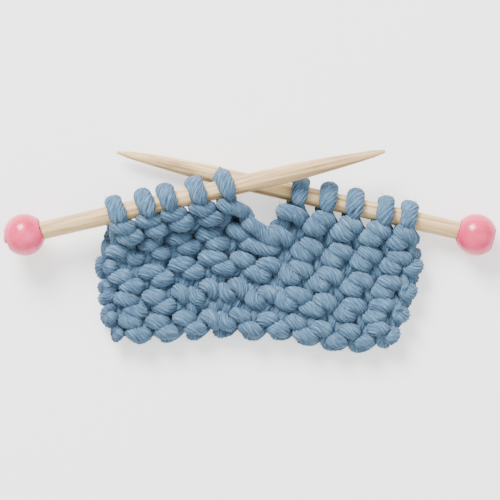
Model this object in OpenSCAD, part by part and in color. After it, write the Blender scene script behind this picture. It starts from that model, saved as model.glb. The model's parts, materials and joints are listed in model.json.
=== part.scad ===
// A small piece of garter stitch in progress on two single pointed needles that cross.
// It lies flat: X to the right, Y towards the live stitches, Z up from the table.

/* [Needles] */
// Diameter of each needle's straight shaft
needle_d = 3; // [2.4:0.1:3.6]
// Length of each needle from the middle of its head bead to its tip
needle_len = 61.5; // [56:0.5:75]
// Length of the long point
point_len = 15.5; // [8:0.5:18]
// Diameter of the blunt end of the point
tip_d = 0.5; // [0.3:0.1:1]
// How full the point is: 1 is a straight cone, less is rounder
point_power = 0.62; // [0.5:0.01:1]
// Angle between each needle and the cast-on edge, seen from above
needle_tilt = 13; // [10:0.5:16]
// Distance from the middle of each head bead to the crossing
bead_to_cross = 38.6; // [37:0.2:48]
// Place of the crossing to the right of the middle of the object
cross_x = 0.1; // [-2:0.05:2]
// Distance of the crossing behind the middle of the object
cross_y = 11.05; // [9:0.05:14]
// Gap between the shafts where they cross, filled by the yarn of the loop beside it
cross_gap = 1.35; // [1.2:0.05:3]
// How far the left bead is held off the table by the yarn
left_bead_lift = 2.1; // [0:0.1:4]
// Fall of the right needle from its bead to the crossing
right_fall = 0.77; // [0:0.01:1.1]

/* [Head beads] */
// Diameter of each head bead
bead_d = 7; // [6.2:0.1:8.4]
// Length of each head bead between its flat faces
bead_len = 6; // [5:0.1:6.6]
// Diameter of the thin end of the needle that is glued through the bead
tenon_d = 1.4; // [1:0.1:2]
// Depth of the round seat that the shaft's shoulder rests in
seat_depth = 0.7; // [0.3:0.1:1.2]
// Length of the left tenon that shows beyond its bead
left_nub = 0.45; // [0:0.05:0.6]
// Depth of the right tenon's end inside its bead
right_inset = 0.2; // [0:0.05:0.6]
// Radial room for the glue round a tenon and a shoulder
glue_gap = 0.03; // [0.02:0.01:0.06]

/* [Live stitches] */
// Distance between neighbouring loops along a needle
loop_pitch = 4.65; // [4.1:0.05:5]
// Distance from the crossing to the first loop on the left needle
left_first = 4.4; // [4.2:0.1:6]
// Distance from the crossing to the first loop on the right needle
right_first = 8.5; // [7.5:0.1:9.5]
// Width of a loop along the needle
loop_w = 3.1; // [2.4:0.1:3.2]
// Thickness of the yarn where it wraps the needle
loop_t = 1.3; // [0.9:0.05:1.4]
// Radial running clearance between a loop and its needle
loop_clear = 0.05; // [0.02:0.01:0.09]

/* [Fabric] */
// Diameter of a stitch of yarn in the fabric
yarn_d = 2.9; // [2.3:0.05:3.1]
// Diameter of the yarn between two stitches
strand_d = 2.4; // [1.8:0.05:2.6]
// Height of the fabric from the cast-on edge to the top course
cloth_h = 17.2; // [16.6:0.1:22]
// Length by which the side edges are shorter than that
corner_rise = 3.4; // [1:0.1:3.8]
// Width of the left half from the middle of the fabric to its outer stitch
left_w = 26.6; // [22:0.1:28]
// Width of the right half from the middle of the fabric to its outer stitch
right_w = 26.8; // [22:0.1:28]
// How far the left half narrows towards the cast-on edge
left_narrowing = 2.6; // [0:0.1:4]
// How far the right half narrows towards the cast-on edge
right_narrowing = 5; // [0:0.1:6]
// Place of the middle of the fabric, between the two needles' stitches
middle_x = 1.5; // [0:0.1:3]
// Depth of the notch in the top edge between the two needles' stitches
notch = 2.4; // [0:0.1:3]
// Half width of that notch
notch_w = 5; // [3:0.5:7]
// Room between the outside of the left loops and the top course
left_hang = 0.25; // [0.1:0.05:1]
// Room between the outside of the right loops and the top course
right_hang = 0.55; // [0.1:0.05:1]
// Height difference between the front and the back courses
layer_step = 2.5; // [2.4:0.05:3]
// How far the fabric is flattened where it rests on the table
flat_t = 0.25; // [0.1:0.05:0.5]
// How far the top edge is lifted in the middle, where the needles cross
middle_lift = 1; // [0:0.1:1.5]
// Gap between the two halves of the fabric, where it bends
bend_gap = 0.3; // [0.2:0.05:0.6]

/* [Hidden] */
$fn = 48;
STITCHES = 5;
COURSES = 8;
needle_r = needle_d / 2;
bead_r = bead_d / 2;
yarn_r = yarn_d / 2;
loop_r = needle_r + loop_clear + loop_t;
shoulder = bead_len / 2 - seat_depth;
point_steps = 12;

// small differences between one loop's place and the next, along the needle
left_shift = [0, 0.2, 0.55, -0.3, 0];
right_shift = [0, 0.2, 0.1, 0.65, 0];

// heights of the two needles' axes at their beads and at the crossing
right_bead_z = bead_r;
right_cross_z = right_bead_z - right_fall;
left_bead_z = bead_r + left_bead_lift;
left_cross_z = right_cross_z + needle_d + cross_gap;
left_rise = atan((left_cross_z - left_bead_z) / bead_to_cross);
right_rise = -atan(right_fall / bead_to_cross);

// Puts its children on the left needle's axis, x running from the bead to the tip.
module on_left() {
    translate([cross_x - bead_to_cross * cos(needle_tilt), cross_y - bead_to_cross * sin(needle_tilt), left_bead_z])
        rotate([0, -left_rise, needle_tilt])
            children();
}

// The same on the right needle.
module on_right() {
    translate([cross_x + bead_to_cross * cos(needle_tilt), cross_y - bead_to_cross * sin(needle_tilt), right_bead_z])
        rotate([0, -right_rise, 180 - needle_tilt])
            children();
}

// Turns a shape that is drawn along z so that it runs along x.
module along_x() {
    rotate([0, 90, 0])
        children();
}

// A needle with its shoulder and tenon: beyond is how far the tenon passes the bead's outer face.
module needle(beyond) {
    shaft_end = needle_len - point_len;
    color("burlywood")
        along_x() {
            translate([0, 0, -bead_len / 2 - beyond])
                cylinder(d = tenon_d, h = bead_len / 2 + beyond + shoulder + 0.5);
            translate([0, 0, shoulder])
                cylinder(d = needle_d, h = shaft_end - shoulder);
            rotate_extrude()
                polygon(concat(
                    [[0, shaft_end - 0.5], [needle_r, shaft_end - 0.5]],
                    [for (i = [0 : point_steps]) point_at(1 - pow(i / point_steps, 1.5))],
                    [[0, needle_len]]
                ));
        }
}

// A point on the outline of the needle's point: 1 where it starts, 0 at the tip.
function point_at(t) = [
    tip_d / 2 + (needle_r - tip_d / 2) * pow(t, point_power),
    needle_len - point_len * t
];

// A head bead: a ball with two flat faces, a hole for the tenon and a seat for the shoulder.
module bead() {
    color("palevioletred")
        along_x()
            difference() {
                intersection() {
                    sphere(d = bead_d, $fn = 64);
                    cube([2 * bead_d, 2 * bead_d, bead_len], center = true);
                }
                cylinder(d = tenon_d + 2 * glue_gap, h = 2 * bead_d, center = true);
                translate([0, 0, shoulder])
                    cylinder(d = needle_d + 2 * glue_gap, h = bead_len);
            }
}

// A live stitch: the loop of yarn that wraps the needle, first place counted from the crossing.
module live_stitch(from_cross) {
    color("slategray")
        translate([bead_to_cross / cos(left_rise) - from_cross, 0, 0])
            along_x()
                rotate_extrude()
                    translate([needle_r + loop_clear + loop_t / 2, 0])
                        loop_section();
}

// The section of that loop: flat against the needle, with round edges.
module loop_section() {
    square([loop_t, loop_w - loop_t], center = true);
    for (side = [-1, 1])
        translate([0, side * (loop_w - loop_t) / 2])
            circle(d = loop_t);
}

// Distances of the loops from the crossing.
function left_place(i) = left_first + i * loop_pitch + left_shift[i];
function right_place(i) = right_first + i * loop_pitch + right_shift[i];

// Half width of the fabric at course v, where 0 is the top course and COURSES the cast-on edge.
function half_width(side, v) = side < 0
    ? left_w - left_narrowing * pow(v / COURSES, 2)
    : right_w - right_narrowing * pow(v / COURSES, 1.5);

// Height above the table of the needle's axis over the place x.
function axis_z(x) = x < middle_x
    ? left_cross_z + (x - cross_x) / cos(needle_tilt) * tan(left_rise)
    : right_cross_z - (x - cross_x) / cos(needle_tilt) * tan(right_rise);

// Height of the top course at x: one layer up, and lifted towards the crossing.
function lift(x, v) = middle_lift * (1 - v / (COURSES + 1)) * exp(-pow((x - middle_x) / 9, 2));
function layer_z(v) = yarn_r - flat_t + (v % 2 == 0 ? layer_step : 0);
function course_z(x, v) = layer_z(v) + lift(x, v);

// Distance in plan from a needle to the top course, so that the loops clear it.
function apart(hang) = loop_r + yarn_r + hang;
function plan_drop(x, hang) = let (rise = min(axis_z(x) - course_z(x, 0), apart(hang) - 0.5))
    sqrt(pow(apart(hang), 2) - pow(rise, 2)) / cos(needle_tilt);
function top_y(x) = cross_y - abs(x - cross_x) * tan(needle_tilt)
    - plan_drop(x, x < middle_x ? left_hang : right_hang)
    - notch * exp(-pow((x - middle_x) / notch_w, 2));

// The fabric's height at x: full in the middle, shorter towards the side edges.
function fabric_h(x) = cloth_h
    - corner_rise * pow(min(1, abs(x - middle_x) / (x < middle_x ? left_w : right_w)), 4);

// A stitch of course v: u runs from 0 at the middle of the fabric to 1 at its edge.
function stitch(side, v, u) =
    let (x = middle_x + side * u * half_width(side, v))
    [x, top_y(x) - fabric_h(x) * v / COURSES, course_z(x, v)];

// A straight strand of yarn between two points.
module strand(a, b) {
    d = b - a;
    translate(a)
        rotate([0, acos(d.z / norm(d)), atan2(d.y, d.x)])
            rotate([0, 0, 45])
                cylinder(d = strand_d, h = norm(d));
}

// One half of a course: five stitches joined by the strand between them, flat where it rests.
module course(side, v) {
    places = [for (i = [0 : STITCHES]) stitch(side, v, i / STITCHES)];
    color(v % 2 == 0 ? "lightslategray" : "slategray")
        intersection() {
            union() {
                for (p = places)
                    translate(p)
                        rotate([0, 0, 90])
                            sphere(d = yarn_d);
                for (i = [0 : STITCHES - 1])
                    strand(places[i], places[i + 1]);
            }
            translate([middle_x + (side > 0 ? bend_gap / 2 : -100 - bend_gap / 2), -50, 0])
                cube([100, 100, 20]);
        }
}

on_left() needle(left_nub);  // left_needle
on_left() bead();  // left_bead
on_right() needle(-right_inset);  // right_needle
on_right() bead();  // right_bead
on_left() live_stitch(left_place(0));  // left_stitch_1
on_left() live_stitch(left_place(1));  // left_stitch_2
on_left() live_stitch(left_place(2));  // left_stitch_3
on_left() live_stitch(left_place(3));  // left_stitch_4
on_left() live_stitch(left_place(4));  // left_stitch_5
on_right() live_stitch(right_place(0));  // right_stitch_1
on_right() live_stitch(right_place(1));  // right_stitch_2
on_right() live_stitch(right_place(2));  // right_stitch_3
on_right() live_stitch(right_place(3));  // right_stitch_4
on_right() live_stitch(right_place(4));  // right_stitch_5
course(-1, 0);  // left_course_1
course(-1, 1);  // left_course_2
course(-1, 2);  // left_course_3
course(-1, 3);  // left_course_4
course(-1, 4);  // left_course_5
course(-1, 5);  // left_course_6
course(-1, 6);  // left_course_7
course(-1, 7);  // left_course_8
course(-1, COURSES);  // left_cast_on
course(1, 0);  // right_course_1
course(1, 1);  // right_course_2
course(1, 2);  // right_course_3
course(1, 3);  // right_course_4
course(1, 4);  // right_course_5
course(1, 5);  // right_course_6
course(1, 6);  // right_course_7
course(1, 7);  // right_course_8
course(1, COURSES);  // right_cast_on
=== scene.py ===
# %% [markdown]
# # Garter stitch on two crossed needles
# The object is a small piece of hand knitting that is still on its needles. Two wooden needles cross,
# each has a painted bead for a head, and five loops of thick plied yarn sit on each of them.
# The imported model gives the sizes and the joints. This script adds what the eye sees: real stitches,
# twisted yarn, wood grain and glossy paint.

# %% Load the frame
import bpy
import json
import math
import numpy as np
from mathutils import Matrix, Vector


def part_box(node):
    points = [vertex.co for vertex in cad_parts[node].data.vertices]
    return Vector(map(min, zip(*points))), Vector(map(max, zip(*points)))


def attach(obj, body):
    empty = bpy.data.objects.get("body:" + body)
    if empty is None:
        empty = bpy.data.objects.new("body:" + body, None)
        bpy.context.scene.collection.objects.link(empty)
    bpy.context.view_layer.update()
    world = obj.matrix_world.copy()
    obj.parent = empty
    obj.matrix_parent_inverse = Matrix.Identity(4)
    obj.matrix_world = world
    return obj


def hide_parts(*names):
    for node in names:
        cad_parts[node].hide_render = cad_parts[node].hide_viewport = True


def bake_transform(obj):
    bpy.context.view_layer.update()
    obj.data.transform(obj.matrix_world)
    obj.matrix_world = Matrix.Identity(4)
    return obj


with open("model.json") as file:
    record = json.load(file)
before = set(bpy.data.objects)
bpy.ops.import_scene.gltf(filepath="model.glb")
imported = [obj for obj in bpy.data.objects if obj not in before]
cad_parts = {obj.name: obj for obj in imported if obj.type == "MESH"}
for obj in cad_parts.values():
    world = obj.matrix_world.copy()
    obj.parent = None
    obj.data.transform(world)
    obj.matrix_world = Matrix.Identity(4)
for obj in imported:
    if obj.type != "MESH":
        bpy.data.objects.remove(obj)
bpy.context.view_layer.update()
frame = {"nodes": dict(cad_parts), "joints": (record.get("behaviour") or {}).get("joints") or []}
MM = 0.001
NODES = frame["nodes"]
rng = np.random.default_rng(7)
print("frame loaded:", len(NODES), "nodes")

# %% [markdown]
# ## Camera
# The work lies flat and is looked at from straight above. A long lens from 0.6 m shows the thick fabric
# and the raised needles with little perspective, as a lens for small objects does.

# %% Camera
VIEW_WIDTH = 83.33 * MM
LENS_HEIGHT = 600 * MM
MIDDLE_OF_WORK = 4 * MM
SENSOR = 36
camera = bpy.data.objects.new("camera", bpy.data.cameras.new("camera"))
bpy.context.scene.collection.objects.link(camera)
camera.data.sensor_width = SENSOR
camera.data.lens = SENSOR * LENS_HEIGHT / VIEW_WIDTH
camera.location = (0, -0.17 * MM, MIDDLE_OF_WORK + LENS_HEIGHT)
bpy.context.scene.camera = camera
print("lens", round(camera.data.lens), "mm")

# %% [markdown]
# ## Floor and light
# A white sheet under the work, a big soft light from the upper left and a pale surround. Soft light
# keeps the yarn's crevices readable without hard shadows.

# %% Floor and light
bpy.ops.object.select_all(action="DESELECT")
bpy.ops.mesh.primitive_plane_add(size=3, location=(0, 0, -0.05 * MM))
floor = bpy.context.object
floor.name = "floor"
floor_paint = bpy.data.materials.new("white_table")
floor_paint.use_nodes = True
floor_shader = floor_paint.node_tree.nodes["Principled BSDF"]
floor_shader.inputs["Base Color"].default_value = (0.93, 0.93, 0.93, 1)
floor_shader.inputs["Roughness"].default_value = 0.9
floor_shader.inputs["Emission Color"].default_value = (1, 1, 1, 1)
floor_shader.inputs["Emission Strength"].default_value = 0.8
floor.data.materials.append(floor_paint)

world = bpy.data.worlds.new("studio")
world.use_nodes = True
world.node_tree.nodes["Background"].inputs["Color"].default_value = (1, 1, 1, 1)
world.node_tree.nodes["Background"].inputs["Strength"].default_value = 0.9
bpy.context.scene.world = world


def soft_light(name, place, size, power):
    """A square lamp at place, in metres, that looks at the middle of the work."""
    lamp = bpy.data.objects.new(name, bpy.data.lights.new(name, "AREA"))
    lamp.data.size = size
    lamp.data.energy = power
    lamp.location = place
    lamp.rotation_euler = (-Vector(place)).to_track_quat("-Z", "Y").to_euler()
    bpy.context.scene.collection.objects.link(lamp)


soft_light("window", (-0.3, 0.6, 0.6), 0.4, 21)
soft_light("fill", (0.5, -0.2, 0.8), 0.8, 4)
print("floor, surround and two lamps")

# %% [markdown]
# ## Building materials
# Every finish here is a small net of nodes. Two helpers keep each net short: one adds a node and sets
# its sockets, the other starts a material and hands back its shader.


# %% Material helpers
def add_node(tree, kind, settings=None, **sockets):
    """Adds a node, sets its properties, then sets or links each named socket."""
    node = tree.nodes.new(kind)
    for key, value in (settings or {}).items():
        setattr(node, key, value)
    for key, value in sockets.items():
        socket = node.inputs[int(key[1:])] if key[0] == "i" and key[1:].isdigit() else node.inputs[key]
        if isinstance(value, bpy.types.NodeSocket):
            tree.links.new(value, socket)
        else:
            socket.default_value = value
    return node


def start_material(name, **sockets):
    """A new material; the sockets are set on its Principled shader. Spaces in their names are written _."""
    material = bpy.data.materials.new(name)
    material.use_nodes = True
    shader = material.node_tree.nodes["Principled BSDF"]
    for key, value in sockets.items():
        shader.inputs[key.replace("_", " ")].default_value = value
    return material, material.node_tree, shader


def ramp(tree, factor, *stops):
    """A colour ramp: each stop is (place, colour)."""
    node = add_node(tree, "ShaderNodeValToRGB", Fac=factor)
    while len(node.color_ramp.elements) < len(stops):
        node.color_ramp.elements.new(0.5)
    for element, (place, colour) in zip(node.color_ramp.elements, stops):
        element.position = place
        element.color = (*colour, 1)
    return node.outputs["Color"]


# %% [markdown]
# ## Wood
# The needles are turned from pale dowel and sanded, not varnished. Grain runs along them, so the noise
# is squeezed across the needle and drawn out along it. The Mapping node turns the pattern until its
# x runs down the needle.


# %% Needle wood
def needle_axis(side):
    """A point on the needle's axis and its direction towards the tip, from the joint it turns on."""
    joint = next(j for j in frame["joints"] if j["name"] == side + "_needle_roll")
    return Vector(joint["pos_m"]), Vector(joint["axis"]).normalized()


def needle_wood(side):
    """Pale sanded wood whose grain follows that needle."""
    wood, tree, shader = start_material(side + "_needle_wood", Roughness=0.55, Specular_IOR_Level=0.35)
    _, direction = needle_axis(side)
    turn = -math.atan2(direction.y, direction.x)
    place = add_node(tree, "ShaderNodeTexCoord").outputs["Object"]
    turned = add_node(tree, "ShaderNodeMapping", Vector=place, Rotation=(0, 0, turn))
    grain_space = add_node(tree, "ShaderNodeMapping", Vector=turned.outputs["Vector"],
                           Scale=(45, 1500, 1500))
    grain = add_node(tree, "ShaderNodeTexNoise", Vector=grain_space.outputs["Vector"], Scale=1.0, Detail=6.0,
                     Roughness=0.6)
    patch_space = add_node(tree, "ShaderNodeMapping", Vector=turned.outputs["Vector"], Scale=(60, 220, 220))
    patches = add_node(tree, "ShaderNodeTexNoise", Vector=patch_space.outputs["Vector"], Scale=1.0,
                       Detail=3.0)
    pale = ramp(tree, grain.outputs["Fac"], (0.32, (0.33, 0.20, 0.085)), (0.5, (0.74, 0.51, 0.255)),
                (0.68, (0.90, 0.70, 0.37)))
    warm = ramp(tree, patches.outputs["Fac"], (0.35, (0.80, 0.76, 0.70)), (0.65, (1, 1, 1)))
    mixed = add_node(tree, "ShaderNodeMix", {"data_type": "RGBA", "blend_type": "MULTIPLY"})
    mixed.inputs[0].default_value = 0.8
    tree.links.new(pale, mixed.inputs[6])
    tree.links.new(warm, mixed.inputs[7])
    tree.links.new(mixed.outputs[2], shader.inputs["Base Color"])
    bump = add_node(tree, "ShaderNodeBump", Strength=0.25, Distance=0.05 * MM, Height=grain.outputs["Fac"])
    tree.links.new(bump.outputs["Normal"], shader.inputs["Normal"])
    return wood


for side in ("left", "right"):
    node = NODES[side + "_needle"]
    node.data.materials.clear()
    node.data.materials.append(needle_wood(side))
print("both needles are wood")

# %% [markdown]
# ## Head beads
# Each head is a drilled wooden bead, dipped in gloss paint. Paint pulls away from sharp edges, so the
# rims are rounded. A ball is cut flat at both ends, and each flat is inset and sunk for a hole: the seat
# for the shaft on top, the thin tenon's hole below. The bead is shaped upright and then laid on its needle.

# %% Bead paint
bead_paint, tree, shader = start_material("bead_paint", Roughness=0.3, Coat_Weight=0.35, Coat_Roughness=0.12)
place = add_node(tree, "ShaderNodeTexCoord").outputs["Object"]
coats = add_node(tree, "ShaderNodeTexNoise", Vector=place, Scale=230.0, Detail=4.0, Roughness=0.55)
specks = add_node(tree, "ShaderNodeTexNoise", Vector=place, Scale=1500.0, Detail=2.0)
pink = ramp(tree, coats.outputs["Fac"], (0.32, (0.52, 0.022, 0.070)), (0.5, (0.82, 0.036, 0.135)),
            (0.72, (0.92, 0.08, 0.20)))
tree.links.new(pink, shader.inputs["Base Color"])
dips = add_node(tree, "ShaderNodeMath", {"operation": "MULTIPLY_ADD"}, i0=specks.outputs["Fac"], i1=0.15,
                i2=coats.outputs["Fac"])
bump = add_node(tree, "ShaderNodeBump", Strength=0.35, Distance=0.25 * MM, Height=dips.outputs["Value"])
tree.links.new(bump.outputs["Normal"], shader.inputs["Normal"])

# %% Bead shape
BEAD_R = 3.5 * MM
BEAD_HALF = 3.0 * MM
RIM = 0.35 * MM
SEAT_R = 1.62 * MM
SEAT_FLOOR = 2.25 * MM
TENON_R = 0.76 * MM
TENON_FLOOR = -1.5 * MM
COUNTERSINK = 0.16 * MM
LEAST_FLAT = 0.04 * MM


def work_on(obj):
    """Makes obj the only selected object, and opens it in edit mode."""
    bpy.ops.object.select_all(action="DESELECT")
    obj.select_set(True)
    bpy.context.view_layer.objects.active = obj
    bpy.ops.object.mode_set(mode="EDIT")


def pick_edges(obj, wanted):
    """In edit mode, selects only the edges whose two ends wanted() accepts."""
    bpy.ops.mesh.select_mode(type="EDGE")
    bpy.ops.mesh.select_all(action="DESELECT")
    bpy.ops.object.mode_set(mode="OBJECT")
    for edge in obj.data.edges:
        edge.select = all(wanted(obj.data.vertices[v].co) for v in edge.vertices)
    bpy.ops.object.mode_set(mode="EDIT")


def flat_and_hole(obj, sign, hole_r, floor_z):
    """Cuts one end of the ball flat, rounds the cut's rim and sinks a hole in it down to floor_z."""
    flat = Vector((0, 0, sign * BEAD_HALF))
    bpy.ops.mesh.select_all(action="SELECT")
    bpy.ops.mesh.bisect(plane_co=flat, plane_no=(0, 0, sign), use_fill=True, clear_outer=True)
    pick_edges(obj, lambda co: abs(co.z - flat.z) < 0.01 * MM)
    bpy.ops.mesh.bevel(offset=RIM, segments=4, affect="EDGES")
    bpy.ops.mesh.select_mode(type="FACE")
    bpy.ops.mesh.select_all(action="DESELECT")
    bpy.ops.object.mode_set(mode="OBJECT")
    end = max(obj.data.polygons, key=lambda f: (f.center.z * sign > BEAD_HALF - 0.05 * MM) * len(f.vertices))
    end.select = True
    inner_r = min(math.hypot(obj.data.vertices[v].co.x, obj.data.vertices[v].co.y) for v in end.vertices)
    bpy.ops.object.mode_set(mode="EDIT")
    steps = ((max(inner_r - hole_r - COUNTERSINK, LEAST_FLAT), 0), (COUNTERSINK * 0.55, 0.35 * COUNTERSINK),
             (COUNTERSINK * 0.45, 1.0 * COUNTERSINK))
    for thickness, depth in steps:
        bpy.ops.mesh.inset(thickness=thickness, depth=-depth)
    bpy.ops.mesh.extrude_region_move(TRANSFORM_OT_translate={
        "value": (0, 0, floor_z - sign * (BEAD_HALF - 1.35 * COUNTERSINK))})


def head_bead(name):
    """A drilled bead, upright: the seat for the shaft on top, the thin tenon's hole below."""
    bpy.ops.object.select_all(action="DESELECT")
    bpy.ops.mesh.primitive_uv_sphere_add(segments=72, ring_count=48, radius=BEAD_R)
    bead = bpy.context.object
    bead.name = name
    work_on(bead)
    flat_and_hole(bead, 1, SEAT_R, SEAT_FLOOR)
    flat_and_hole(bead, -1, TENON_R, TENON_FLOOR)
    bpy.ops.object.mode_set(mode="OBJECT")
    bpy.ops.object.shade_smooth_by_angle(angle=math.radians(40))
    bead.data.materials.append(bead_paint)
    return bead


def lay_on_needle(obj, side, skew):
    """Turns an upright piece to face the needle's tip, a little askew, and moves it to the head's place."""
    middle, direction = needle_axis(side)
    upright_to_axis = direction.to_track_quat("Z", "Y").to_matrix().to_4x4()
    turn = Matrix.Rotation(math.radians(skew), 4, "Z") @ upright_to_axis
    obj.data.transform(Matrix.Translation(middle) @ turn)


for side, skew in (("left", 6.0), ("right", -2.0)):
    bead = head_bead(side + "_head_bead")
    lay_on_needle(bead, side, skew)
    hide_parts(side + "_bead")
    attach(bead, side + "_needle_body")
    print(bead.name, len(bead.data.polygons), "faces")


# %% [markdown]
# ## Where the fabric lies
# The CAD model holds each course of the knitting as a row of balls. The middle of each ball is read back
# from its node's mesh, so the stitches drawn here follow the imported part. The cloth's place is then a
# function: give it how far across (in stitches, 0 to 10) and how far up (in courses, 0 at the cast-on
# edge to 8 at the top course), and it gives a point in millimetres.

# %% The fabric's place
STITCHES = 10
COURSES = 8
LOOPS = 5
BALL_R = 1.45
HALF_STEP = 1.25


def course_line(level):
    """The centre line of one CAD course: 11 points in mm from the left edge to the right one."""
    name = "cast_on" if level == 0 else f"course_{COURSES + 1 - level}"
    points = []
    for side, sign in (("left_", -1), ("right_", 1)):
        corners = np.array([v.co for v in NODES[side + name].data.vertices]) / MM
        outer = corners[:, 0].min() + BALL_R if sign < 0 else corners[:, 0].max() - BALL_R
        inner = corners[:, 0].max() if sign < 0 else corners[:, 0].min()
        for x in np.linspace(outer, inner, 6) if sign < 0 else np.linspace(inner, outer, 6)[1:]:
            near = corners[np.abs(corners[:, 0] - x) < 0.5]
            points.append((x, (near[:, 1].min() + near[:, 1].max()) / 2, near[:, 2].max() - BALL_R))
    return np.array(points)


LINES = [course_line(level) for level in range(COURSES + 1)]
LOOP_X = sorted(sum(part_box(f"{side}_stitch_{k}"), Vector()).x / 2 / MM
                for side in ("left", "right") for k in range(1, LOOPS + 1))
print("cast-on edge from", LINES[0][0].round(1), "to", LINES[0][-1].round(1), "mm")

# %% [markdown]
# ## Hand tension
# A knitter never pulls two courses alike. Each ridge of the real fabric rises and dips by a millimetre or so,
# and most of all where the two needles part. The pull is a short list for each ridge: how far up
# the ridge is drawn, in millimetres, at eight places across. What lies between is interpolated.

# %% Pull of each ridge
PULL_X = (-25, -16, -7, 0, 5, 11, 17, 25)
PULL = {
    0: (0.5, 0.0, -0.5, 0.6, 1.1, -0.5, 0.0, 1.4),
    2: (-0.6, -0.2, 0.6, 1.2, 1.1, -0.2, 0.0, 0.8),
    4: (-0.4, 0.0, 0.8, 1.5, 1.1, 0.2, 0.3, 0.5),
    6: (0.6, 0.7, 0.6, 1.9, 1.8, 0.0, 0.7, 1.2),
    8: (0.4, 0.7, 0.9, 1.1, 1.0, 0.9, 0.9, 1.6),
}


def pulled(x, level):
    """How far hand tension pulls each ridge up from the even lines of the CAD model, in mm."""
    ridges = sorted(PULL)
    offsets = np.array([np.interp(x, PULL_X, PULL[ridge]) for ridge in ridges])
    place = np.clip(level, 0, COURSES) / 2
    low = np.clip(np.floor(place).astype(int), 0, len(ridges) - 2)
    pick = np.arange(len(x))
    return offsets[low, pick] * (1 - (place - low)) + offsets[low + 1, pick] * (place - low)


print("ridges pulled by", min(map(min, PULL.values())), "to", max(map(max, PULL.values())), "mm")

# %% A place in the cloth
NOTCH_SIDE_U = (4.8, 5.2)
NOTCH_SIDE_X = (3.4, -3.6)
HANGS_FROM = 4


def across(u, level):
    """X in mm: evenly spaced in the cloth, and under its own loop near the needles."""
    levels = range(COURSES + 1)
    left_edge = [line[0, 0] - BALL_R for line in LINES]
    right_edge = [line[-1, 0] + BALL_R for line in LINES]
    left = np.interp(level, levels, left_edge)
    right = np.interp(level, levels, right_edge)
    even = left + (right - left) * u / STITCHES
    loop_u = [k + 0.5 for k in range(STITCHES)]
    notch_x = [LOOP_X[LOOPS - 1] + NOTCH_SIDE_X[0], LOOP_X[LOOPS] + NOTCH_SIDE_X[1]]
    top_u = [0, *loop_u[:LOOPS], *NOTCH_SIDE_U, *loop_u[LOOPS:], STITCHES]
    top_x = [left_edge[-1], *LOOP_X[:LOOPS], *notch_x, *LOOP_X[LOOPS:], right_edge[-1]]
    hung = np.interp(u, top_u, top_x)
    share = np.clip((level - HANGS_FROM) / (COURSES - HANGS_FROM), 0, 1) ** 1.3
    return even * (1 - share) + hung * share


def cloth(u, level):
    """Points in mm on the middle surface of the cloth, for arrays u and level."""
    u, level = np.broadcast_arrays(np.asarray(u, float), np.asarray(level, float))
    x = across(u, level)
    rows_y = np.array([np.interp(x, line[:, 0], line[:, 1]) for line in LINES])
    rows_z = np.array([np.interp(x, line[:, 0], line[:, 2] - (HALF_STEP if k % 2 == 0 else -HALF_STEP))
                       for k, line in enumerate(LINES)])
    low = np.clip(np.floor(level).astype(int), 0, COURSES - 1)
    part = level - low
    pick = np.arange(len(x))
    y = rows_y[low, pick] * (1 - part) + rows_y[low + 1, pick] * part + pulled(x, level)
    z = rows_z[low, pick] * (1 - part) + rows_z[low + 1, pick] * part
    return np.stack([x, y, z], axis=1)


print("middle of the top course at", cloth([STITCHES / 2], COURSES)[0].round(1), "mm")

# %% [markdown]
# ## The path of the yarn
# In garter stitch every course is one strand that snakes up and down: a head at the top of each stitch
# and a sinker between two stitches. Heads of one course and sinkers of the next lie on the same face and
# make a ridge; the legs between them pass through to the other face and are squeezed thin. So one stitch
# is given as a few points, and a course repeats them ten times. Between the needles the top course
# has one long sinker, which falls across the notch.

# %% A course's path
REACH = 1.95
DEPTH = 1.35
EDGE_ROOM = 0.27
LONG_END = 0.23
SHORT_END = 0.12
ARC = 0.1
TILT_LEFT = 0.52
TILT_RIGHT = 0.1
LEAN = 0.065
HEADS_PROUD = 0.12
SQUEEZED = 0.68
NOTCH_FROM = 4.7
NOTCH_TO = 5.13
NOTCH_UP = -1.6
NOTCH_FALL = 6.0


def half_stitch(reach, depth, tilt, low_end, high_end):
    """From a sinker's middle up to a head's middle: (part of a stitch, up mm, to the face mm, girth)."""
    return [
        (0.0, -reach, HEADS_PROUD - depth, 1.0),
        (low_end, -reach + ARC + tilt, HEADS_PROUD - depth, 1.0),
        (low_end + 0.06, -reach + 2 * ARC + 1.3 * tilt, -0.2 * depth, 0.85),
        (0.31, -0.55, 0.4 * depth, SQUEEZED),
        (0.26, 0.55, -0.4 * depth, SQUEEZED),
        (0.44 - high_end, reach - 2 * ARC + 1.3 * tilt, 0.2 * depth, 0.85),
        (0.5 - high_end, reach - ARC + tilt, HEADS_PROUD + depth, 1.0),
    ]


def tilt_at(u):
    """How far each end of a bump stands above or below its middle, in mm: the rows slope, the bumps don't."""
    return TILT_LEFT + (TILT_RIGHT - TILT_LEFT) * u / STITCHES


def top_lift(x):
    """How far the needles lift the top course off the even cloth, in mm: the left needle lies higher."""
    return np.interp(x, (-6, 8), (3.4, 1.0))


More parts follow.
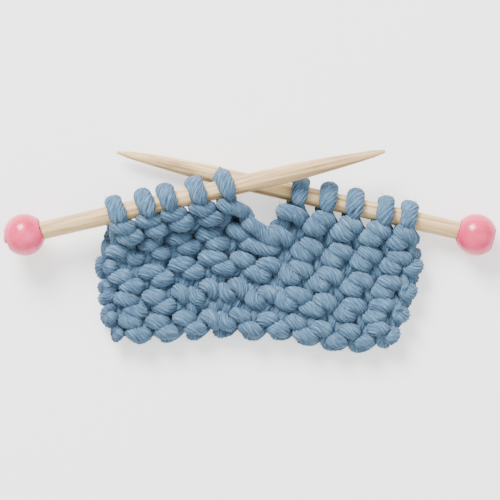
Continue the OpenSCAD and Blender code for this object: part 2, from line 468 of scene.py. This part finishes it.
def course_path(level, reach=REACH, depth=DEPTH):
    """The strand of one course: points in mm, and girth. Heads lie at that level, sinkers one below."""
    face = 1 if level % 2 == 0 else -1
    ends = (SHORT_END, LONG_END)[::face]
    table = []
    for k in range(STITCHES):
        tilt = face * tilt_at(k + 0.5)
        rising = half_stitch(reach, depth, tilt, *ends)
        mirrored = half_stitch(reach, depth, -tilt, *ends[::-1])[1:]
        falling = [(1 - u, up, to, girth) for u, up, to, girth in mirrored]
        one = rising + [(0.5, reach, HEADS_PROUD + depth, 1.0)] + falling[::-1]
        table += [(k + u, up, to, girth) for u, up, to, girth in one]
    table = np.array(table + [(STITCHES, -reach, HEADS_PROUD - depth, 1.0)])
    if level == COURSES:
        notch = (table[:, 0] > NOTCH_FROM) & (table[:, 0] < NOTCH_TO)
        table[notch, 1:] = np.column_stack([NOTCH_UP + NOTCH_FALL * (STITCHES / 2 - table[notch, 0]),
                                            np.full(notch.sum(), depth), np.full(notch.sum(), 0.95)])
    wobble = rng.normal(0, 1, (3, len(table)))
    wobble = np.apply_along_axis(lambda row: np.convolve(row, (0.25, 0.5, 0.25), "same"), 1, wobble)
    u = np.clip(table[:, 0] + face * LEAN + 0.03 * wobble[0], 0, STITCHES)
    points = cloth(EDGE_ROOM + u * (1 - 2 * EDGE_ROOM / STITCHES), level - 0.5)
    points[:, 1] += table[:, 1] + 0.18 * wobble[1]
    points[:, 2] += face * table[:, 2] + 0.12 * wobble[2]
    if level == COURSES:
        points[:, 2] += top_lift(points[:, 0]) * np.clip(0.6 + 0.4 * table[:, 1] / reach, 0, 1)
    return np.column_stack([points, table[:, 3]])


def turn_at_edge(points, level):
    """Ends a course: one end runs round the side edge into the course above, the other is tucked in."""
    right = level % 2 == 1
    ends = points[-1] if right else points[0]
    out = 1 if right else -1
    above = ends + (0, 2.2, 0, 0)
    above[2] = 2 * cloth([STITCHES if right else 0], level)[0, 2] - ends[2]
    arc = np.array([(ends + above) / 2 + (out * 0.2, 0, 0, 0), above + (-out * 0.6, 0, 0, 0)])
    return np.vstack([points, arc]) if right else np.vstack([arc[::-1], points])


paths = {}
for level in range(1, COURSES + 1):
    paths[level] = turn_at_edge(course_path(level), level) if level < COURSES else course_path(level)
paths[0] = course_path(0, reach=1.15, depth=1.2)
paths[0][:, 1] += 0.75
print("courses:", len(paths), "points in one:", len(paths[1]))

# %% [markdown]
# ## Live stitches
# The last course is still open. Each of its loops comes up behind the needle, goes over the top and down
# in front, and its leg disappears behind the heads of the top course. The loops' places are the CAD
# rings', read from their nodes.

# %% Live loops
WRAP = 2.2
WRAP_ANGLES = (-140, -100, -55, -10, 35, 75, 110)
LOOP_LIFT = 0.75
BASE_UP = -0.85
SLANT = {"left": 1.1, "right": 0.5}
SLANT_OFFSET = {"left": 0.15, "right": -0.2}
LEG_ALONG = {"left": 0.55, "right": 0.1}
LEG_DOWN = 1.8
LEG_OUT = 1.1


def live_path(side):
    """The strand of five live loops on one needle: points in mm and girth, from left to right."""
    _, along = needle_axis(side)
    if side == "right":
        along = -along
    normal = Vector((0, 0, 1)) - along * along.z
    normal.normalize()
    upward = normal.cross(along).normalized()
    frame3 = np.array([along, upward, normal])
    rings = [np.array(sum(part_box(f"{side}_stitch_{k}"), Vector()) / 2 / MM) for k in range(1, LOOPS + 1)]
    rings.sort(key=lambda p: p[0])
    first = 0 if side == "left" else LOOPS
    points = []

    def in_cloth(u, up, to, girth):
        """Adds a point given from the cloth's own place: up the cloth and towards its face, in mm."""
        place = cloth([u], COURSES)[0]
        points.append((*(place + (0, up, to)), girth))

    for k, ring in enumerate(rings):
        u = first + k
        tilt = tilt_at(u)
        lift = float(top_lift(ring[0])) * LOOP_LIFT
        if k:
            in_cloth(u - SHORT_END - LEAN, BASE_UP + ARC + tilt, DEPTH + lift, 1.0)
            in_cloth(u - LEAN, BASE_UP, DEPTH + lift, 1.0)
            in_cloth(u + LONG_END - LEAN, BASE_UP + ARC - tilt, DEPTH + lift, 0.95)
        else:
            in_cloth(u + 0.3, -0.6, 0.2, 0.7)
        in_cloth(u + 0.42, -0.1, 0.0, 0.65)
        for angle in WRAP_ANGLES:
            turn = math.radians(angle)
            slide = SLANT[side] * (angle - 30) / 250 + SLANT_OFFSET[side]
            place = ring + frame3[0] * slide
            place = place + WRAP * (math.cos(turn) * frame3[1] + math.sin(turn) * frame3[2])
            points.append((*place, 1.0))
        place = ring + frame3[0] * LEG_ALONG[side] - frame3[1] * LEG_DOWN + frame3[2] * LEG_OUT
        points.append((*place, 0.6))
        in_cloth(u + 0.62, 0.4, 0.1, 0.6)
        in_cloth(u + 0.7, -0.5, 0.2, 0.65)
    return np.array(points), rings, frame3


def smooth_through(points, spacing):
    """A smooth curve through given points, resampled at even spacing (Catmull-Rom, then by length)."""
    padded = np.vstack([2 * points[0] - points[1], points, 2 * points[-1] - points[-2]])
    pieces = []
    for a, b, c, d in zip(padded[:-3], padded[1:-2], padded[2:-1], padded[3:]):
        t = np.linspace(0, 1, 12, endpoint=False)[:, None]
        pieces.append(0.5 * (2 * b + (c - a) * t + (2 * a - 5 * b + 4 * c - d) * t ** 2
                             + (3 * b - a - 3 * c + d) * t ** 3))
    dense = np.vstack(pieces + [points[-1:]])
    length = np.concatenate([[0], np.cumsum(np.linalg.norm(np.diff(dense[:, :3], axis=0), axis=1))])
    steps = np.linspace(0, length[-1], max(8, int(round(length[-1] / spacing)) + 1))
    return np.stack([np.interp(steps, length, column) for column in dense.T], axis=1)


live_rows = {side: live_path(side) for side in ("left", "right")}
for side, (points, _, _) in live_rows.items():
    paths[side] = points
print("points in a live row:", len(paths["left"]))

# %% Even steps
STEP = 0.62
paths = {key: smooth_through(points, STEP) for key, points in paths.items()}
print("yarn in the work:", round(sum(len(p) for p in paths.values()) * STEP / 1000, 2), "m")

# %% [markdown]
# ## Letting the strands push each other apart
# Drawn waves cut through each other where strands cross. Real yarn presses on its neighbours and bends,
# so the centre lines are relaxed: points that are too near push apart and bends are evened out. A spring
# holds each point near its place, strongly on the bumps and weakly on the thin legs. The needles and the
# table are hard.

# %% Relax the strands
YARN_R = 1.34
TOUCH = 2.05
NEEDLE_R = 1.5
ROUNDS = 60
OWN_NEIGHBOURS = 5
PUSH = 0.12
STIFFNESS = 0.2
HOLD = 0.03
HOLD_BUMPS = 0.2
WRAP_ROOM = 0.7
SHAFT_END = 55


def near_pairs(now, strand):
    """Index pairs of points that could touch soon, without the neighbours along their own strand."""
    gap = ((now[:, None, :] - now[None, :, :]) ** 2).sum(2)
    one, other = np.nonzero(np.triu(gap < (1.5 * TOUCH) ** 2, 1))
    apart = (strand[one] != strand[other]) | (other - one > OWN_NEIGHBOURS)
    return one[apart], other[apart]


def relax(paths):
    """Moves the centre lines apart until neighbouring strands only press on each other."""
    keys = list(paths)
    girth = np.concatenate([paths[k][:, 3] for k in keys])
    start = np.vstack([paths[k][:, :3] for k in keys])
    hold = (HOLD + (HOLD_BUMPS - HOLD) * np.clip((girth - SQUEEZED) / (1 - SQUEEZED), 0, 1) ** 2)[:, None]
    ends = np.cumsum([len(paths[k]) for k in keys])
    strand = np.searchsorted(ends, np.arange(len(start)), side="right")
    inside = (strand[1:-1] == strand[:-2]) & (strand[1:-1] == strand[2:])
    axes = [(np.array(o) / MM, np.array(d)) for o, d in (needle_axis("left"), needle_axis("right"))]
    now = start.copy()
    for step in range(ROUNDS):
        if step % 10 == 0:
            one, other = near_pairs(now, strand)
            touch = TOUCH * (girth[one] + girth[other]) / 2
        gap = now[one] - now[other]
        far = np.linalg.norm(gap, axis=1) + 1e-9
        press = gap * (np.clip(touch - far, 0, None) / far)[:, None] * PUSH
        for axis in range(3):
            push, push_back = (np.bincount(which, press[:, axis], len(now)) for which in (one, other))
            now[:, axis] += push - push_back
        bend = np.zeros_like(now)
        bend[1:-1][inside] = ((now[:-2] + now[2:]) / 2 - now[1:-1])[inside]
        now = now + STIFFNESS * bend + hold * (start - now)
        for origin, direction in axes:
            off = now - origin
            shaft = off @ direction
            off -= np.outer(shaft, direction)
            away = np.linalg.norm(off, axis=1)
            room = NEEDLE_R + WRAP_ROOM * girth
            hit = (away < room) & (shaft < SHAFT_END)
            now[hit] += off[hit] * ((room - away)[hit] / away[hit])[:, None]
        now[:, 2] = np.maximum(now[:, 2], YARN_R * girth)
    now = np.column_stack([now, girth])
    return {k: now[e - len(paths[k]):e] for k, e in zip(keys, ends)}


relaxed = relax(paths)
print("strands relaxed, lowest centre", round(min(p[:, 2].min() for p in relaxed.values()), 2), "mm,",
      "highest", round(max(p[:, 2].max() for p in relaxed.values()), 2), "mm")

# %% [markdown]
# ## Twisted yarn
# Wool yarn is spun fibre, plied with a twist. Its section is a ring of lobes, one for each visible
# strand, and the section turns steadily along the path. A curve with a bevel object does this: the bevel
# is the lobed ring and the curve's tilt is the twist. After the conversion to a mesh, the section is
# pressed flat wherever it meets a needle or the table.

# %% Yarn finish
yarn_wool, tree, shader = start_material("yarn_wool", Roughness=0.9, Sheen_Weight=0.12, Sheen_Roughness=0.6,
                                         Specular_IOR_Level=0.12)
thread_uv = add_node(tree, "ShaderNodeUVMap", {"uv_map": "thread"}).outputs["UV"]
fibre_space = add_node(tree, "ShaderNodeMapping", Vector=thread_uv, Scale=(0.9, 4.2, 1))
fibres = add_node(tree, "ShaderNodeTexNoise", Vector=fibre_space.outputs["Vector"], Scale=1.0, Detail=5.0,
                  Roughness=0.65)
place = add_node(tree, "ShaderNodeTexCoord").outputs["Object"]
dye = add_node(tree, "ShaderNodeTexNoise", Vector=place, Scale=120.0, Detail=3.0)
painted_valley_shade = add_node(tree, "ShaderNodeAttribute", {"attribute_name": "painted_valley_shade"}).outputs["Fac"]
tone = add_node(tree, "ShaderNodeMath", {"operation": "MULTIPLY_ADD"}, i0=fibres.outputs["Fac"], i1=1.5,
                i2=-0.32)
tone = add_node(tree, "ShaderNodeMath", {"operation": "MULTIPLY_ADD"}, i0=dye.outputs["Fac"], i1=0.2,
                i2=tone.outputs["Value"])
# Painted shade: the colour is darkened where a point lies deep between the lobes, where shade falls.
tone = add_node(tree, "ShaderNodeMath", {"operation": "MULTIPLY_ADD"}, i0=painted_valley_shade, i1=-0.25,
                i2=tone.outputs["Value"])
blue = ramp(tree, tone.outputs["Value"], (0.2, (0.018, 0.038, 0.082)), (0.42, (0.048, 0.100, 0.172)),
            (0.6, (0.088, 0.175, 0.27)), (0.82, (0.21, 0.335, 0.45)))
tree.links.new(blue, shader.inputs["Base Color"])
bump = add_node(tree, "ShaderNodeBump", Strength=0.7, Distance=0.18 * MM, Height=fibres.outputs["Fac"])
tree.links.new(bump.outputs["Normal"], shader.inputs["Normal"])

# %% Spin a strand
LOBES = 11
LOBE_DEPTH = 0.13
SECTION = 44
TWIST = 0.8
RING_STEP = 0.42


def section_curve():
    """The yarn's section at full girth, as a closed curve in metres."""
    outline = bpy.data.curves.new("yarn_section", "CURVE")
    outline.dimensions = "2D"
    spline = outline.splines.new("POLY")
    spline.points.add(SECTION - 1)
    spline.use_cyclic_u = True
    for k, point in enumerate(spline.points):
        angle = 2 * math.pi * k / SECTION
        radius = 1 - LOBE_DEPTH * (0.5 - 0.5 * math.cos(LOBES * angle)) ** 2 + 0.04 * math.cos(2 * angle)
        point.co = (MM * YARN_R * radius * math.cos(angle), MM * YARN_R * radius * math.sin(angle), 0, 1)
    obj = bpy.data.objects.new("yarn_section", outline)
    bpy.context.scene.collection.objects.link(obj)
    return obj


SECTION_OBJECT = section_curve()
print("section:", LOBES, "lobes,", SECTION, "points")

# %% Press and spin
WRAP_PRESS = 0.7
WRAP_THICK = 1.6
SKIN = 0.03
PRESS_END = 50
WRAP_END = 37
WRAP_LOW = -1.5


def flatten_on_hard_things(mesh):
    """Presses the yarn out of the shafts and off the table, and thins it where it wraps a shaft."""
    corners = np.array([v.co for v in mesh.vertices]) / MM
    for side in ("left", "right"):
        origin, direction = (np.array(v) for v in needle_axis(side))
        off = corners - origin / MM
        shaft = off @ direction
        off -= np.outer(shaft, direction)
        away = np.linalg.norm(off, axis=1)
        hit = (away < NEEDLE_R + SKIN) & (shaft < PRESS_END)
        corners[hit] += off[hit] * ((NEEDLE_R + SKIN - away[hit]) / away[hit])[:, None]
        wrap = (away > WRAP) & (away < WRAP + WRAP_THICK) & (shaft < WRAP_END) & (off[:, 1] > WRAP_LOW)
        corners[wrap] -= off[wrap] * ((1 - WRAP_PRESS) * (away[wrap] - WRAP) / away[wrap])[:, None]
    corners[:, 2] = np.maximum(corners[:, 2], 0.02)
    mesh.vertices.foreach_set("co", (corners * MM).astype(np.float32).ravel())
    mesh.update()


def spin_strand(name, points, thick=1.0):
    """A mesh of twisted yarn along points in mm, with its thread map and the depth between its lobes marked
    for painted shade.
    """
    path = smooth_through(points, RING_STEP)
    curve = bpy.data.curves.new(name, "CURVE")
    curve.dimensions = "3D"
    curve.bevel_mode = "OBJECT"
    curve.bevel_object = SECTION_OBJECT
    curve.use_fill_caps = True
    spline = curve.splines.new("POLY")
    spline.points.add(len(path) - 1)
    ring = np.arange(len(path))
    swell = 1 + 0.05 * np.sin(ring * 0.21 + rng.uniform(0, 6)) + rng.normal(0, 0.012, len(path))
    from_end = np.minimum(ring, ring[::-1])
    size = thick * path[:, 3] * swell * np.minimum(1, 0.35 + 0.35 * from_end)
    for k, (point, place) in enumerate(zip(spline.points, path[:, :3])):
        point.co = (*(place * MM), 1)
        point.tilt = TWIST * RING_STEP * k
        point.radius = size[k]
    obj = bpy.data.objects.new(name, curve)
    bpy.context.scene.collection.objects.link(obj)
    bpy.ops.object.select_all(action="DESELECT")
    obj.select_set(True)
    bpy.context.view_layer.objects.active = obj
    bpy.ops.object.convert(target="MESH")
    mark_thread(obj.data, path[:, :3], size)
    bpy.ops.object.mode_set(mode="EDIT")
    bpy.ops.mesh.select_all(action="SELECT")
    bpy.ops.mesh.remove_doubles(threshold=0.001 * MM)
    bpy.ops.mesh.normals_make_consistent(inside=False)
    bpy.ops.object.mode_set(mode="OBJECT")
    return obj, path


def mark_thread(mesh, path, size):
    """Keeps two things for the finish: a map along and round the yarn in mm, and how deep a point lies
    between the lobes, which the finish turns into painted shade.
    """
    thread = mesh.uv_layers[0]
    thread.name = "thread"
    flat = np.zeros(len(thread.data) * 2, np.float32)
    thread.data.foreach_get("uv", flat)
    length = RING_STEP * (len(path) - 1)
    flat[0::2] *= length
    flat[1::2] *= 2 * math.pi * YARN_R
    thread.data.foreach_set("uv", flat)
    corners = np.array([v.co for v in mesh.vertices]) / MM
    painted_valley_shade = np.zeros(len(corners), np.float32)
    rings = len(path) * SECTION
    centre = np.repeat(path, SECTION, axis=0)
    radius = np.linalg.norm(corners[:rings] - centre, axis=1) / np.repeat(size, SECTION) / YARN_R
    # How deep each point lies between the lobes, 0 to 1: the finish darkens it as painted shade.
    painted_valley_shade[:rings] = np.clip((1 - radius) / LOBE_DEPTH, 0, 1)
    mesh.attributes.new("painted_valley_shade", "FLOAT", "POINT").data.foreach_set("value", painted_valley_shade)


# %% [markdown]
# ## Stray fibres
# Spun wool is never bare: fine hairs stand off it. Each hair is a bent three-sided spike of ten faces,
# rooted in the yarn, and a few hundred of them soften the outline of a strand.

# %% Stray fibres
HAIRS = 420
HAIR_RINGS = ((0.0, 0.036), (0.4, 0.028), (0.75, 0.018))


def add_hairs(obj, path):
    """Joins a mesh of short stray fibres to a strand."""
    verts, faces = [], []
    girth = path[:, 3]
    path = path[:, :3]
    tangent = np.gradient(path, axis=0)
    tangent /= np.linalg.norm(tangent, axis=1)[:, None]
    for _ in range(HAIRS):
        k = rng.integers(3, len(path) - 3)
        across_way = rng.normal(0, 1, 3)
        across_way -= tangent[k] * (across_way @ tangent[k])
        across_way /= np.linalg.norm(across_way)
        start = path[k] + across_way * YARN_R * girth[k] * 0.9
        run = tangent[k] * rng.choice((-1, 1)) * rng.uniform(0.4, 1.2) + across_way * rng.uniform(0.35, 0.8)
        length = rng.uniform(0.5, 1.5)
        curl = (rng.normal(0, 0.5, 3) - across_way * 0.45) * length
        side_way = np.cross(run, curl)
        side_way /= np.linalg.norm(side_way)
        other_way = np.cross(run / np.linalg.norm(run), side_way)
        base = len(verts)
        for step, wide in HAIR_RINGS:
            middle = start + run * length * step + curl * step * step
            for corner in range(3):
                angle = corner * 2 * math.pi / 3
                verts.append(middle + wide * (math.cos(angle) * side_way + math.sin(angle) * other_way))
        verts.append(start + run * length + curl)
        for ring in (0, 3):
            for c in range(3):
                d = (c + 1) % 3
                faces.append((base + ring + c, base + ring + d, base + ring + 3 + d, base + ring + 3 + c))
        faces += [(base + 6 + c, base + 6 + (c + 1) % 3, base + 9) for c in range(3)]
        faces.append((base + 2, base + 1, base))
    verts = np.array(verts)
    verts[:, 2] = np.maximum(verts[:, 2], 0.03)
    mesh = bpy.data.meshes.new("hairs")
    mesh.from_pydata((verts * MM).tolist(), [], faces)
    mesh.uv_layers.new(name="thread")
    mesh.attributes.new("painted_valley_shade", "FLOAT", "POINT")
    hairs = bpy.data.objects.new("hairs", mesh)
    bpy.context.scene.collection.objects.link(hairs)
    work_on(hairs)
    bpy.ops.mesh.select_all(action="SELECT")
    bpy.ops.mesh.normals_make_consistent(inside=False)
    bpy.ops.object.mode_set(mode="OBJECT")
    bpy.ops.object.select_all(action="DESELECT")
    hairs.select_set(True)
    obj.select_set(True)
    bpy.context.view_layer.objects.active = obj
    bpy.ops.object.join()


# %% [markdown]
# ## Hanging the strands on the model
# Each course crosses the fold between the two halves of the fabric, and is spun as one strand that
# takes the place of its CAD course on both halves, which are hidden. A live row takes the place of
# the CAD rings on its needle, which are hidden too.


def finish_yarn(obj, path):
    """The last steps that every strand shares."""
    flatten_on_hard_things(obj.data)
    add_hairs(obj, path)
    bpy.ops.object.shade_smooth()
    obj.data.materials.clear()
    obj.data.materials.append(yarn_wool)


for level in range(COURSES + 1):
    name = "cast_on" if level == 0 else f"course_{COURSES + 1 - level}"
    strand, path = spin_strand(name + "_yarn", relaxed[level])
    finish_yarn(strand, path)
    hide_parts("left_" + name, "right_" + name)
    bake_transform(strand)
    print(strand.name, len(strand.data.polygons), "faces")

# %% Live rows
LIVE_THICK = 1.1

for side in ("left", "right"):
    strand, path = spin_strand(side + "_live_loops", relaxed[side], thick=LIVE_THICK)
    finish_yarn(strand, path)
    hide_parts(*[f"{side}_stitch_{k}" for k in range(1, 6)])
    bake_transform(strand)
    print(strand.name, len(strand.data.polygons), "faces")

bpy.data.objects.remove(SECTION_OBJECT)
